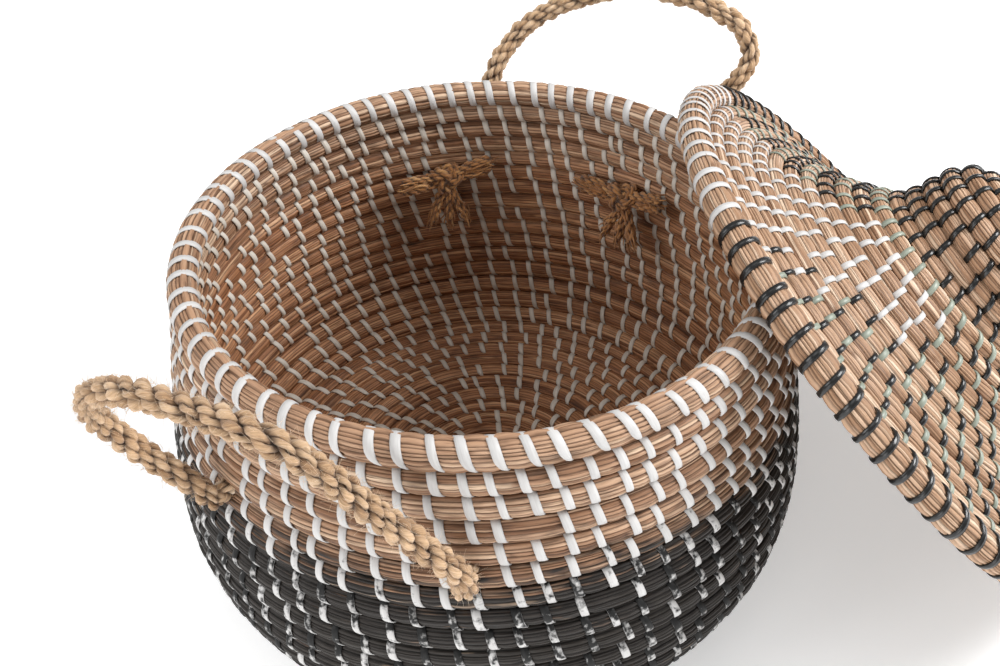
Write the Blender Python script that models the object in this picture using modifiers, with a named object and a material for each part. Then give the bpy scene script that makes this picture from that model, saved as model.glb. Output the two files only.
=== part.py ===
"""Round seagrass basket with a leaning lid and two rope handles. Metres, +Z up.

The origin is the centre of the basket's underside. The mouth faces up, and the lid leans on the +X side.
Each round of the coiled seagrass is one piece: its bearing faces lie halfway to the rounds beside it.
"""

from math import cos, pi, radians, sin

import bpy
import numpy as np
from mathutils import Vector

# Driving dimensions
MOUTH_R = 0.165  # centre line of the rim coil
PITCH = 0.0854 * MOUTH_R  # from one coil to the next
COIL_HALF = 0.0074  # half the wall's thickness, out to a coil's ridge
FACE_HALF = 0.0046  # half the width of the face that bears on the next coil
RIM_HALF = 0.0078
GAP = 0.0003
WALL_ROUNDS = 15
BASE_ROUNDS = 12
FLARE = radians(11.4)  # the wall leans out this much below the rim
TURN = radians(56.7)  # and turns in by this much by its lowest coil
TURN_POWER = 5.4
HEEL_ANGLE = radians(-66)  # from the lowest wall coil to the first base coil
SIDES = 20  # facets round each coil
DYED_FROM = 8  # the wall coils from this one down are dyed black outside

LID_R = 1.085 * MOUTH_R
LID_TILT = radians(44.0)  # the leaning lid's axis from vertical
LID_PITCH = 0.0655 * MOUTH_R
LID_COIL_HALF = 0.0058
LID_FACE_HALF = 0.0036
LID_RIM_HALF = 0.0093
BRIM_ROUNDS = 12
BRIM_SLOPE = (radians(4.0), radians(40.0))  # at the edge and at the knob
KNOB_SLOPES = tuple(radians(a) for a in (66, 80, 80, 60, 30, 8))
FLOOR_CLEAR = 0.0006

ROPE_R = 0.0068
ROPE_POINTS = 24
ROUTE_STEPS = 40  # fine steps between two given points of a rope's route
KNOT_R = 0.0105
STUB_PROUD = 0.0004  # how far a knot's stub stands out of the wall
TAIL_R = 0.0034  # a frayed end where it leaves its knot
TAIL_SPREAD = 1.25  # its tip against that
FACET_SAG = 0.0022  # how far a facet's middle lies inside the true circle, with room to spare
DRILL_REACH = 0.03  # how far a hole's cutter runs each way from the middle of the wall

# Each knot's frayed ends: name, and its reach along the wall, inwards and upwards
KNOT_ENDS = (
    ("left_end", 0.036, 0.006, 0.001),
    ("right_end", -0.034, 0.006, 0.008),
    ("tail", 0.004, 0.003, -0.037),
)

# Each handle: name, direction of its middle, half the angle between its two holes, how far its loop leans
# from straight out (0) towards straight up (90), and the wall coil above its holes. The loop's route goes
# from the hole on the anticlockwise side to the other one, as (along the line of the holes, away from it),
# in mouth radii.
HANDLES = (
    ("front_handle", radians(-115.4), radians(21.9), radians(72), 4, (
        (0.43, 0.0), (0.44, 0.12), (0.36, 0.27), (0.26, 0.44), (0.17, 0.62), (0.05, 0.74),
        (-0.13, 0.76), (-0.34, 0.74), (-0.53, 0.62), (-0.62, 0.44), (-0.58, 0.26), (-0.48, 0.12),
        (-0.43, 0.0),
    )),
    ("back_handle", radians(75), radians(23.5), radians(65), 4, (
        (0.465, 0.0), (0.42, 0.10), (0.34, 0.22), (0.257, 0.335), (0.225, 0.43), (0.135, 0.563),
        (0.013, 0.655), (-0.11, 0.71), (-0.33, 0.76), (-0.56, 0.74), (-0.65, 0.706), (-0.771, 0.648),
        (-0.828, 0.553), (-0.815, 0.465), (-0.745, 0.365), (-0.63, 0.225), (-0.53, 0.10), (-0.465, 0.0),
    )),
)

SEAGRASS = (0.55, 0.36, 0.22, 1.0)
DYED = (0.035, 0.033, 0.034, 1.0)
JUTE = (0.50, 0.33, 0.16, 1.0)


def clear_scene():
    for old in list(bpy.data.objects):
        bpy.data.objects.remove(old, do_unlink=True)


def new_collection(name):
    made = bpy.data.collections.new(name)
    bpy.context.scene.collection.children.link(made)
    return made


def material(name, colour, roughness):
    made = bpy.data.materials.new(name)
    made.use_nodes = True
    shader = made.node_tree.nodes["Principled BSDF"]
    shader.inputs["Base Color"].default_value = colour
    shader.inputs["Roughness"].default_value = roughness
    return made


def own_material(obj, colour, roughness=0.7):
    obj.data.materials.append(material(obj.name + "_material", colour, roughness))


def as_cutter(obj):
    for owner in list(obj.users_collection):
        owner.objects.unlink(obj)
    cutters.objects.link(obj)
    obj.hide_render = True
    obj.display_type = "WIRE"
    return obj


def empty(name, parent=None, location=(0, 0, 0), rotation=(0, 0, 0)):
    made = bpy.data.objects.new(name, None)
    basket.objects.link(made)
    made.empty_display_size = 0.03
    made.parent = parent
    made.location = location
    made.rotation_euler = rotation
    return made


# Coil sections. A point is (radius, height), and an angle is from straight down, positive outwards.

def step_along(angle):
    return np.array((sin(angle), -cos(angle)))


def across(angle):
    return np.array((cos(angle), sin(angle)))


def chain(start, angles, first_step, step):
    centres = [np.array(start)]
    for i, angle in enumerate(angles):
        centres.append(centres[-1] + (first_step if i == 0 else step) * step_along(angle))
    return centres


def bearing_face(centre, angle, distance, face_half):
    """The two ends of the face that a coil turns to its neighbour, the outer one first."""
    middle = centre + distance * step_along(angle)
    return middle + face_half * across(angle), middle - face_half * across(angle)


def coil_section(centre, before, after, pitch, half, face_half):
    """Six points: the face towards the coil before, the outer ridge, the face after, the inner ridge."""
    upper_out, upper_in = bearing_face(centre, before, GAP / 2 - pitch / 2, face_half)
    lower_out, lower_in = bearing_face(centre, after, pitch / 2 - GAP / 2, face_half)
    ridge = across((before + after) / 2)
    return [upper_in, upper_out, centre + half * ridge, lower_out, lower_in, centre - half * ridge]


def rim_section(centre, after, half, face_half):
    """A round edge coil: an eight-sided section with one face on the coil after it."""
    lower_out, lower_in = bearing_face(centre, after, half - GAP / 2, face_half)
    turns = [after + pi / 2 + radians(a) for a in (-125, -75, -25, 25, 75, 125)]
    arc = [centre + half * across(a) for a in turns]
    return [lower_in] + arc[::-1] + [lower_out]


def turned(name, section, parent=None, colour=SEAGRASS):
    """Sweeps a closed section round Z. It's put in the order that faces outwards."""
    area = 0.0
    for (r0, z0), (r1, z1) in zip(section, section[1:] + section[:1]):
        area += r0 * z1 - r1 * z0
    points = section if area < 0 else section[::-1]
    mesh = bpy.data.meshes.new(name)
    count = len(points)
    edges = [(i, (i + 1) % count) for i in range(count)]
    mesh.from_pydata([(r, 0, z) for r, z in points], edges, [])
    obj = bpy.data.objects.new(name, mesh)
    basket.objects.link(obj)
    obj.parent = parent
    screw = obj.modifiers.new("turn", "SCREW")
    screw.steps = SIDES
    screw.render_steps = SIDES
    screw.use_merge_vertices = True
    screw.merge_threshold = 0.0001
    screw.use_smooth_shade = True
    own_material(obj, colour)
    return obj


def take(obj, parent=None):
    """Moves a new primitive into the basket's collection."""
    for owner in list(obj.users_collection):
        owner.objects.unlink(obj)
    basket.objects.link(obj)
    obj.parent = parent


def disc(name, radius, low, high, parent=None):
    bpy.ops.mesh.primitive_cylinder_add(
        vertices=SIDES, radius=radius, depth=high - low, location=(0, 0, (low + high) / 2)
    )
    obj = bpy.context.object
    obj.name = name
    take(obj, parent)
    own_material(obj, SEAGRASS)


def wall_angles():
    return [FLARE - TURN * (k / WALL_ROUNDS) ** TURN_POWER for k in range(1, WALL_ROUNDS + 1)]


def side_centres():
    """The rim coil, the wall coils and the first base coil, with the underside at height 0."""
    centres = chain((MOUTH_R, 0.0), wall_angles() + [HEEL_ANGLE], RIM_HALF + PITCH / 2, PITCH)
    rise = np.array((0.0, FACE_HALF - centres[-1][1]))
    return [centre + rise for centre in centres]


def make_wall(centres):
    angles = wall_angles() + [HEEL_ANGLE]
    turned("rim_coil", rim_section(centres[0], angles[0], RIM_HALF, FACE_HALF))
    coils = {}
    for k in range(1, WALL_ROUNDS + 1):
        section = coil_section(centres[k], angles[k - 1], angles[k], PITCH, COIL_HALF, FACE_HALF)
        colour = DYED if k >= DYED_FROM else SEAGRASS
        coils[k] = turned(f"wall_coil_{k:02d}", section, colour=colour)
    return coils


def make_base(first):
    """Flat coils on the floor plane, from the wall to the middle. first is the outermost one's centre."""
    pitch = first[0] / (BASE_ROUNDS + 0.4)
    for k in range(BASE_ROUNDS):
        middle = first[0] - pitch * k
        inner = middle - pitch / 2 + GAP / 2
        if k == 0:
            heel_out, heel_in = bearing_face(first, HEEL_ANGLE, GAP / 2 - PITCH / 2, FACE_HALF)
            outer = [heel_in, heel_out, (middle, 0.0)]
        else:
            rim = middle + pitch / 2 - GAP / 2
            outer = [(rim, 2 * FACE_HALF), (rim, 0.0)]
        ridge = (middle, FACE_HALF + COIL_HALF)
        turned(f"base_coil_{k + 1:02d}", outer + [(inner, 0.0), (inner, 2 * FACE_HALF), ridge])
    disc("base_centre", inner - GAP, 0.0, FACE_HALF + COIL_HALF)


def lid_slopes():
    low, high = BRIM_SLOPE
    brim = [low + (high - low) * k / (BRIM_ROUNDS - 1) for k in range(BRIM_ROUNDS)]
    return brim + list(KNOB_SLOPES)


def lid_angles():
    return [-(pi / 2 + slope) for slope in lid_slopes()]


def lid_centres():
    """In the lid's own frame: height 0 is its rim coil, and its axis is Z."""
    return chain((LID_R, 0.0), lid_angles(), LID_RIM_HALF + LID_PITCH / 2, LID_PITCH)


def lid_centre_height():
    return LID_R * sin(LID_TILT) + LID_RIM_HALF + FLOOR_CLEAR


def clearance(x, centres):
    """The least distance between the lid's coils, with the lid's centre at x, and the basket's coils."""
    turn = np.linspace(0, 2 * pi, 360, endpoint=False)
    least = 1.0
    for i, (radius, height) in enumerate(lid_centres()):
        along = radius * np.cos(turn)
        lid_x = x + along * cos(LID_TILT) + height * sin(LID_TILT)
        lid_z = lid_centre_height() - along * sin(LID_TILT) + height * cos(LID_TILT)
        reach = np.hypot(lid_x, radius * np.sin(turn))
        own_half = LID_COIL_HALF if i else LID_RIM_HALF
        for k, (r, z) in enumerate(centres):
            gap = np.hypot(reach - r, lid_z - z) - own_half - (COIL_HALF if k else RIM_HALF)
            least = min(least, gap.min())
    return least


def lid_centre_x(centres):
    """The lid slides in towards the basket until it rests on the rim."""
    near, away = MOUTH_R, 2.5 * MOUTH_R
    for _ in range(30):
        middle = (near + away) / 2
        if clearance(middle, centres) > GAP:
            away = middle
        else:
            near = middle
    return away


def make_lid(centres):
    angles = lid_angles()
    places = lid_centres()
    centre = Vector((lid_centre_x(centres), 0, lid_centre_height()))
    to_edge = Vector((LID_R * cos(LID_TILT), 0, -LID_R * sin(LID_TILT)))
    pivot = empty("lid_tip_axis", location=centre + to_edge)
    lid = empty("lid_frame", parent=pivot, location=-to_edge, rotation=(0, LID_TILT, 0))
    turned("lid_rim_coil", rim_section(places[0], angles[0], LID_RIM_HALF, LID_FACE_HALF), lid)
    for k in range(1, len(places)):
        last = k == len(places) - 1
        after = -pi / 2 if last else angles[k]
        part = "lid_coil" if k <= BRIM_ROUNDS else "lid_knob_coil"
        number = k if k <= BRIM_ROUNDS else k - BRIM_ROUNDS
        section = coil_section(places[k], angles[k - 1], after, LID_PITCH, LID_COIL_HALF, LID_FACE_HALF)
        turned(f"{part}_{number:02d}", section, lid)
    radius, height = places[-1]
    button_r = radius - LID_PITCH / 2 - GAP
    disc("lid_knob_button", button_r, height - LID_FACE_HALF, height + LID_FACE_HALF, lid)


# Handles

def hole(centres, azimuth, above):
    """The place where a rope crosses the wall, between coil number above and the next one down."""
    middle = (centres[above] + centres[above + 1]) / 2
    outward = Vector((cos(azimuth), sin(azimuth), 0))
    return outward * middle[0] + Vector((0, 0, middle[1])), outward


def cylinder(name, start, end, radius, top_radius=None, sides=12):
    """A cylinder or a cone from start to end."""
    line = end - start
    bpy.ops.mesh.primitive_cone_add(
        vertices=sides, radius1=radius, radius2=radius if top_radius is None else top_radius,
        depth=line.length, location=(start + end) / 2, rotation=line.to_track_quat("Z", "Y").to_euler()
    )
    obj = bpy.context.object
    obj.name = name
    return obj


def drill(coils, place, outward, name):
    reach = outward * DRILL_REACH
    cutter = as_cutter(cylinder(name, place - reach, place + reach, ROPE_R + GAP, sides=16))
    for coil in coils:
        cut = coil.modifiers.new(name, "BOOLEAN")
        cut.operation = "DIFFERENCE"
        cut.object = cutter


def make_knot(name, place, outward):
    """A rope end: a stub through the wall, the knot that stops it inside, and three frayed ends."""
    sideways = Vector((-outward.y, outward.x, 0))
    up = Vector((0, 0, 1))
    centre = place - outward * (COIL_HALF + FACET_SAG + KNOT_R)
    bpy.ops.mesh.primitive_ico_sphere_add(subdivisions=2, radius=KNOT_R, location=centre)
    knot = bpy.context.object
    knot.name = name
    take(knot)
    stub_end = place + outward * (COIL_HALF + STUB_PROUD)
    extras = [cylinder(name + "_stub", centre, stub_end, ROPE_R)]
    for label, along, inward, rise in KNOT_ENDS:
        tip = centre + sideways * along - outward * inward + up * rise
        extras.append(cylinder(f"{name}_{label}", centre, tip, TAIL_R, TAIL_R * TAIL_SPREAD, sides=6))
    for extra in extras:
        join = knot.modifiers.new(extra.name, "BOOLEAN")
        join.operation = "UNION"
        join.object = as_cutter(extra)
    own_material(knot, JUTE)


def smooth_route(points, count):
    """Evenly spaced points on a Catmull-Rom curve through the given ones."""
    route = np.array(points, dtype=float)
    padded = np.vstack([2 * route[0] - route[1], route, 2 * route[-1] - route[-2]])
    fine = []
    for i in range(len(route) - 1):
        a, b, c, d = padded[i:i + 4]
        for t in np.linspace(0, 1, ROUTE_STEPS, endpoint=False):
            fine.append(0.5 * (2 * b + (c - a) * t + (2 * a - 5 * b + 4 * c - d) * t ** 2
                               + (3 * b - a - 3 * c + d) * t ** 3))
    fine = np.array(fine + [route[-1]])
    run = np.concatenate([[0], np.cumsum(np.linalg.norm(np.diff(fine, axis=0), axis=1))])
    wanted = np.linspace(0, run[-1], count)
    return np.stack([np.interp(wanted, run, fine[:, i]) for i in range(fine.shape[1])], axis=1)


def make_rope(name, route, parent):
    curve = bpy.data.curves.new(name, "CURVE")
    curve.dimensions = "3D"
    curve.bevel_depth = ROPE_R
    curve.bevel_resolution = 2
    curve.use_fill_caps = True
    spline = curve.splines.new("POLY")
    spline.points.add(len(route) - 1)
    for point, place in zip(spline.points, route):
        point.co = (*place, 1.0)
    rope = bpy.data.objects.new(name, curve)
    basket.objects.link(rope)
    rope.parent = parent
    own_material(rope, JUTE)
    return rope


def make_handle(name, middle, half, lean, above, route, coils, centres):
    hinge_points = []
    for side, azimuth in (("a", middle + half), ("b", middle - half)):
        place, outward = hole(centres, azimuth, above)
        drill((coils[above], coils[above + 1]), place, outward, f"{name}_hole_{side}")
        make_knot(f"{name}_knot_{side}", place, outward)
        hinge_points.append(place + outward * (COIL_HALF + STUB_PROUD + GAP + ROPE_R))
    first, second = hinge_points
    axis = empty(f"{name}_axis", location=(first + second) / 2, rotation=(0, 0, middle + pi / 2))
    half_span = (first - second).length / 2
    stretch = half_span / (route[0][0] * MOUTH_R)
    places = []
    for along, out in smooth_route(route, ROPE_POINTS):
        flat = out * MOUTH_R
        places.append((along * MOUTH_R * stretch, -flat * cos(lean), flat * sin(lean)))
    make_rope(f"{name}_rope", places, axis)


clear_scene()
basket = new_collection("seagrass_basket")
cutters = new_collection("cutters")
side = side_centres()
wall = make_wall(side)
make_base(side[-1])
make_lid(side)
for handle in HANDLES:
    make_handle(*handle, wall, side)
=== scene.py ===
"""The seagrass basket's visual model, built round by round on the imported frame. Metres, +Z up."""

from math import atan2, cos, pi, radians, sin

import bpy
import numpy as np
from mathutils import Matrix, Vector


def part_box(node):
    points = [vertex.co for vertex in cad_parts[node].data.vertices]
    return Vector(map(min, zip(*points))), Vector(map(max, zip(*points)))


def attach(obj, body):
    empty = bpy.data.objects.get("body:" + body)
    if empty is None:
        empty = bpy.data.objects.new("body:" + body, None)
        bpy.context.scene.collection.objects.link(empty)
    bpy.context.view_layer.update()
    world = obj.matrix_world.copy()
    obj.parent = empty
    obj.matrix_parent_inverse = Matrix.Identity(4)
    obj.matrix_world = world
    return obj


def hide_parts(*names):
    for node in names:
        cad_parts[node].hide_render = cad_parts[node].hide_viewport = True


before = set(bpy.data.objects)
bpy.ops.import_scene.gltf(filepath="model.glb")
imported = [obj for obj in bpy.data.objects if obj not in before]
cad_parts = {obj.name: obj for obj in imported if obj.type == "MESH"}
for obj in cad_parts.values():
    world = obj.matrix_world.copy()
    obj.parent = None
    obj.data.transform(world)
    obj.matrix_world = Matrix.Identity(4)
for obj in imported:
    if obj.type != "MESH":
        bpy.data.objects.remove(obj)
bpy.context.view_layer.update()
rng = np.random.default_rng(7)

# Sizes shared with the CAD model
MOUTH_R = 0.165
PITCH = 0.0854 * MOUTH_R
COIL_HALF = 0.0074
FACE_HALF = 0.0046
RIM_HALF = 0.0078
GAP = 0.0003
WALL_ROUNDS = 15
BASE_ROUNDS = 12
BASE_HEIGHT = 0.0066
BASE_COIL_HALF = 0.0056
FLARE = radians(11.4)
TURN = radians(56.7)
TURN_POWER = 5.4
HEEL_ANGLE = radians(-66)
BASE_DYE = WALL_ROUNDS + 2
LID_R = 1.085 * MOUTH_R
LID_TILT = radians(44.0)
LID_PITCH = 0.0655 * MOUTH_R
LID_COIL_HALF = 0.0058
LID_RIM_HALF = 0.0093
BRIM_ROUNDS = 12
BRIM_SLOPE = (radians(4.0), radians(40.0))
KNOB_SLOPES = tuple(radians(a) for a in (66, 80, 80, 60, 30, 8))
ROPE_R = 0.0068
KNOT_R = 0.0105
STUB_PROUD = 0.0004
FACET_SAG = 0.0022
HOLE_ROUND = 4

# Each handle's name, the direction of its middle, half the angle between its holes, how far it leans up,
# and its route: sideways and away from the wall, in mouth radii.
HANDLES = (
    ("front_handle", radians(-115.4), radians(21.9), radians(72), (
        (0.43, 0.0), (0.44, 0.12), (0.36, 0.27), (0.26, 0.44), (0.17, 0.62), (0.05, 0.74),
        (-0.13, 0.76), (-0.34, 0.74), (-0.53, 0.62), (-0.62, 0.44), (-0.58, 0.26), (-0.48, 0.12),
        (-0.43, 0.0),
    )),
    ("back_handle", radians(75), radians(23.5), radians(65), (
        (0.465, 0.0), (0.42, 0.10), (0.34, 0.22), (0.257, 0.335), (0.225, 0.43), (0.135, 0.563),
        (0.013, 0.655), (-0.11, 0.71), (-0.33, 0.76), (-0.56, 0.74), (-0.65, 0.706), (-0.771, 0.648),
        (-0.828, 0.553), (-0.815, 0.465), (-0.745, 0.365), (-0.63, 0.225), (-0.53, 0.10), (-0.465, 0.0),
    )),
)

# Camera
CAMERA_TARGET = Vector((0.0100, 0.0, 0.1398))
CAMERA_DISTANCE = 3.9175 * MOUTH_R
CAMERA_ELEVATION = radians(41.5)
CAMERA_ROLL = radians(-2.46)
CAMERA_LENS = 37.88

# Stitching. A span is the section angles between which a strip goes over a coil.
STITCH_SPACING = 0.0148
WALL_STITCHES = 72
RIM_STITCH_WIDTH = 0.0048
OUTER_STITCH_WIDTH = 0.0045
INNER_STITCH_WIDTH = 0.0038
LID_STITCH_WIDTH = 0.0033
WALL_STITCH_HEIGHT = 0.0006
RIM_LEAN = 0.0115
OUTER_LEAN = 0.0052
INNER_LEAN = 0.0060
BASE_LEAN = 0.0032
RIM_SPAN = (radians(-262), radians(84))
OUTER_SPAN = (radians(-84), radians(84))
INNER_SPAN = (radians(-96), radians(-264))
TOP_SPAN = (radians(-97), radians(-263))
UNDER_SPAN = (radians(-83), radians(83))
STITCH_LIFT = 0.00010
STITCH_TUCK = 0.0009
STRIP_OUTLINE = ((-1.0, -0.1), (-0.86, 0.75), (0.0, 1.0), (0.86, 0.75), (1.0, -0.1), (0.0, -0.5))
STRIP_ACROSS = (0, 0.16, 0.5, 0.84, 1.0, 0.5, 0.0)
HOLE_MARGIN = 0.045

# The lid's stitching
LID_RIM_STITCHES = 88
LID_STITCHES = 62
BRIM_SPACING = 0.0158
KNOB_SPACING = 0.0135
LID_RIM_SPAN = (radians(84), radians(-264))
LID_RIM_LEAN = -0.0075
BETWEEN_SPAN = (radians(-20), radians(84))
BETWEEN_LEAN = 0.0020
BRIM_LEAN = -0.0020
KNOB_LEAN = -0.0048
WHITE_STITCH, BLACK_STITCH, SAGE_STITCH = range(3)
LID_STITCH_SIZES = {
    WHITE_STITCH: (LID_STITCH_WIDTH * 1.08, 0.0006),
    BLACK_STITCH: (LID_STITCH_WIDTH, 0.0011),
    SAGE_STITCH: (LID_STITCH_WIDTH * 1.02, 0.0008),
}

# Seagrass strands. The profile of one strand is the place across it, the rise, and whether it is the groove
# between strands, which is darkened with painted shade.
STRANDS = 22
LID_RIM_STRANDS = 28
LID_STRANDS = 20
CENTRE_STRANDS = 10
CENTRE_R = 0.02
BUNDLE_STEP = 0.0036
USUAL_COIL = 0.0145
STRAND_LENGTH = 0.26
STRAND_PROFILE = ((0.0, -0.00065, 1.0), (0.24, 0.00010, 0.0), (0.72, 0.00014, 0.0))
END_LENGTH = 0.0045
END_DROP = 0.0006
PINCH = 0.0009
PINCH_REACH = 0.0032
LEAST_RADIUS = 0.012
HOLE_CLEAR = ROPE_R * 0.93
HOLE_REACH = 0.02

# Rope
FUZZ_COUNT = 2200
KNOT_SIZE = 0.0029
KNOT_DEPTH = 0.0034
KNOT_ROPE_R = 0.0048
UP = np.array((0, 0, 1.0))
SIDE_END = 0.034
HANGING_END = 0.040


# Meshes

def mesh_object(name, points, faces, uvs, strand):
    """points and strand are (n, 3), faces arrays of equal-sided faces, and uvs like faces with a last 2."""
    mesh = bpy.data.meshes.new(name)
    counts = np.concatenate([np.full(len(f), f.shape[1]) for f in faces])
    loops = np.concatenate([f.reshape(-1) for f in faces])
    starts = np.concatenate([[0], np.cumsum(counts)[:-1]])
    mesh.vertices.add(len(points))
    mesh.vertices.foreach_set("co", np.asarray(points, np.float32).reshape(-1))
    mesh.loops.add(len(loops))
    mesh.loops.foreach_set("vertex_index", loops.astype(np.int32))
    mesh.polygons.add(len(counts))
    mesh.polygons.foreach_set("loop_start", starts.astype(np.int32))
    mesh.update(calc_edges=True)
    layer = mesh.uv_layers.new(name="fibre")
    flat = np.concatenate([u.reshape(-1, 2) for u in uvs])
    layer.data.foreach_set("uv", flat.astype(np.float32).reshape(-1))
    colour = mesh.attributes.new("strand", "FLOAT_COLOR", "POINT")
    padded = np.ones((len(points), 4), np.float32)
    padded[:, :3] = strand
    colour.data.foreach_set("color", padded.reshape(-1))
    mesh.polygons.foreach_set("use_smooth", np.full(len(counts), True))
    obj = bpy.data.objects.new(name, mesh)
    bpy.context.scene.collection.objects.link(obj)
    return obj


class Sheaf:
    """Gathers tubes, each a grid of rings, into one mesh."""

    def __init__(self):
        self.points, self.quads, self.uvs, self.caps, self.cap_uvs, self.values = [], [], [], [], [], []
        self.count = 0

    def add(self, grid, u, v, values, closed_rings, shear=0.0):
        """grid is (rings, around, 3). u and v are one longer than it in each closed direction.

        values holds three numbers for each point, which the materials read as the attribute strand.
        """
        rings, around = grid.shape[:2]
        last = rings if closed_rings else rings - 1
        j, i = np.meshgrid(np.arange(last), np.arange(around), indexing="ij")
        j2, i2 = (j + 1) % rings, (i + 1) % around
        quad = np.stack([j * around + i, j * around + i2, j2 * around + i2, j2 * around + i], axis=-1)
        self.quads.append(self.count + quad.reshape(-1, 4))
        corner = np.stack([
            np.stack([u[j], v[i]], -1), np.stack([u[j], v[i + 1]], -1),
            np.stack([u[j + 1], v[i + 1]], -1), np.stack([u[j + 1], v[i]], -1)], axis=-2)
        corner[..., 1] += shear * corner[..., 0]
        self.uvs.append(corner.reshape(-1, 4, 2))
        if not closed_rings:
            ends = np.stack([np.arange(around)[::-1], (rings - 1) * around + np.arange(around)])
            self.caps.append(self.count + ends)
            self.cap_uvs.append(np.stack([np.stack([np.full(around, u[0]), v[:around][::-1]], -1),
                                          np.stack([np.full(around, u[-1]), v[:around]], -1)]))
        self.points.append(grid.reshape(-1, 3))
        self.values.append(values.reshape(rings * around, -1))
        self.count += rings * around

    def build(self, name):
        faces, uvs = [np.concatenate(self.quads)], [np.concatenate(self.uvs)]
        for count in sorted({cap.shape[1] for cap in self.caps}):
            faces.append(np.concatenate([c for c in self.caps if c.shape[1] == count]))
            uvs.append(np.concatenate([c for c in self.cap_uvs if c.shape[1] == count]))
        return mesh_object(name, np.concatenate(self.points), faces, uvs, np.concatenate(self.values))


def wave(angle, low, high, scale):
    """A smooth random function of an angle, periodic, with a standard deviation of about scale."""
    total = np.zeros_like(angle)
    for cycles in range(low, high):
        total += rng.normal() * np.cos(cycles * angle + rng.uniform(0, 2 * pi))
    return total * scale / np.sqrt((high - low) / 2)


def smoothstep(x):
    x = np.clip(x, 0, 1)
    return x * x * (3 - 2 * x)


def unit(vectors):
    return vectors / np.linalg.norm(vectors, axis=-1, keepdims=True)


def run_length(path):
    """How far each point of a path is along it."""
    return np.concatenate([[0], np.cumsum(np.linalg.norm(np.diff(path, axis=0), axis=1))])


def angle_apart(angle, other):
    """How far apart two directions are, from 0 to pi."""
    return np.abs((angle - other + pi) % (2 * pi) - pi)


# Where the coils lie. A point is (radius, height), and an angle is from straight down, positive outwards.

def step_along(angle):
    return np.array((sin(angle), -cos(angle)))


def across(angle):
    return np.array((cos(angle), sin(angle)))


def chain(start, angles, first_step, step):
    """Centres from start on, each a step further at the next angle."""
    centres = [np.array(start)]
    for i, angle in enumerate(angles):
        centres.append(centres[-1] + (first_step if i == 0 else step) * step_along(angle))
    return centres


def wall_angles():
    angles = [FLARE - TURN * (k / WALL_ROUNDS) ** TURN_POWER for k in range(1, WALL_ROUNDS + 1)]
    return angles + [HEEL_ANGLE]


def side_centres():
    """The centres of the rim, the wall rounds and the first base round."""
    centres = chain((MOUTH_R, 0.0), wall_angles(), RIM_HALF + PITCH / 2, PITCH)
    rise = np.array((0.0, FACE_HALF - centres[-1][1]))
    return [centre + rise for centre in centres]


def lid_angles():
    low, high = BRIM_SLOPE
    brim = [low + (high - low) * k / (BRIM_ROUNDS - 1) for k in range(BRIM_ROUNDS)]
    return [-(pi / 2 + slope) for slope in brim + list(KNOB_SLOPES)]


def lid_matrix():
    """From the lid's own frame, with its axis along Z, to the row frame."""
    low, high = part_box("lid_rim_coil")
    edge_x = high.x - LID_RIM_HALF
    centre = Vector((edge_x - LID_R * cos(LID_TILT), 0, low.z + LID_RIM_HALF + LID_R * sin(LID_TILT)))
    return Matrix.Translation(centre) @ Matrix.Rotation(LID_TILT, 4, "Y")


class Coil:
    """One round: half its size along the wall (stack) and across it (thick), and the stitches over it."""

    def __init__(self, name, node, body, centre, angle, stack, thick, matrix=None):
        self.name, self.node, self.body = name, node, body
        self.centre, self.stack, self.thick = np.array(centre), stack, thick
        self.out, self.down = across(angle), step_along(angle)
        self.matrix = np.eye(4) if matrix is None else np.array(matrix)
        self.seams = []

    def turning_radius(self):
        """The radius that turns a length round the coil into an angle, kept from zero at the centre."""
        return max(self.centre[0], LEAST_RADIUS)

    def place(self, section, turn, lift):
        """Points on the coil at angles round its section (0 is its outer side) and round the basket."""
        a = (self.thick + lift) * np.cos(section)
        d = (self.stack + lift) * np.sin(section)
        radius = self.centre[0] + a * self.out[0] + d * self.down[0]
        height = self.centre[1] + a * self.out[1] + d * self.down[1]
        return self.world(radius, height, turn)

    def world(self, radius, height, turn):
        local = np.stack([radius * np.cos(turn), radius * np.sin(turn), height + 0 * turn], axis=-1)
        return local @ self.matrix[:3, :3].T + self.matrix[:3, 3]


def seam_drift(lean, t):
    """How far round a stitch has moved by the fraction t of its way over the coil."""
    return lean * (0.7 * t + 0.3 * t ** 3)


def pinched(coil, section, turn):
    """How tightly the stitches pull in the bundle at each point, from 0 to 1."""
    radius = coil.turning_radius()
    tight = np.zeros_like(section)
    for start, end, lean, turns in coil.seams:
        wrapped = (section - min(start, end)) % (2 * pi) + min(start, end)
        t = (wrapped - start) / (end - start)
        place = turn - seam_drift(lean, np.clip(t, 0, 1)) / radius
        nearest = np.full(section.shape, 1.0)
        for stitch in turns:
            nearest = np.minimum(nearest, angle_apart(place, stitch))
        near = np.exp(-(nearest * radius / PINCH_REACH) ** 2) * (np.abs(t - 0.5) < 0.52)
        tight = np.maximum(tight, near)
    return tight


def basket_coils():
    centres, angles = side_centres(), wall_angles()
    coils = [Coil("rim_bundle", "rim_coil", "basket", centres[0], angles[0], RIM_HALF, RIM_HALF)]
    for k in range(1, WALL_ROUNDS + 1):
        middle = (angles[k - 1] + angles[k]) / 2
        coils.append(Coil(f"wall_bundle_{k:02d}", f"wall_coil_{k:02d}", "basket", centres[k], middle,
                          PITCH * 0.512, COIL_HALF * 0.96))
    return coils


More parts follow.
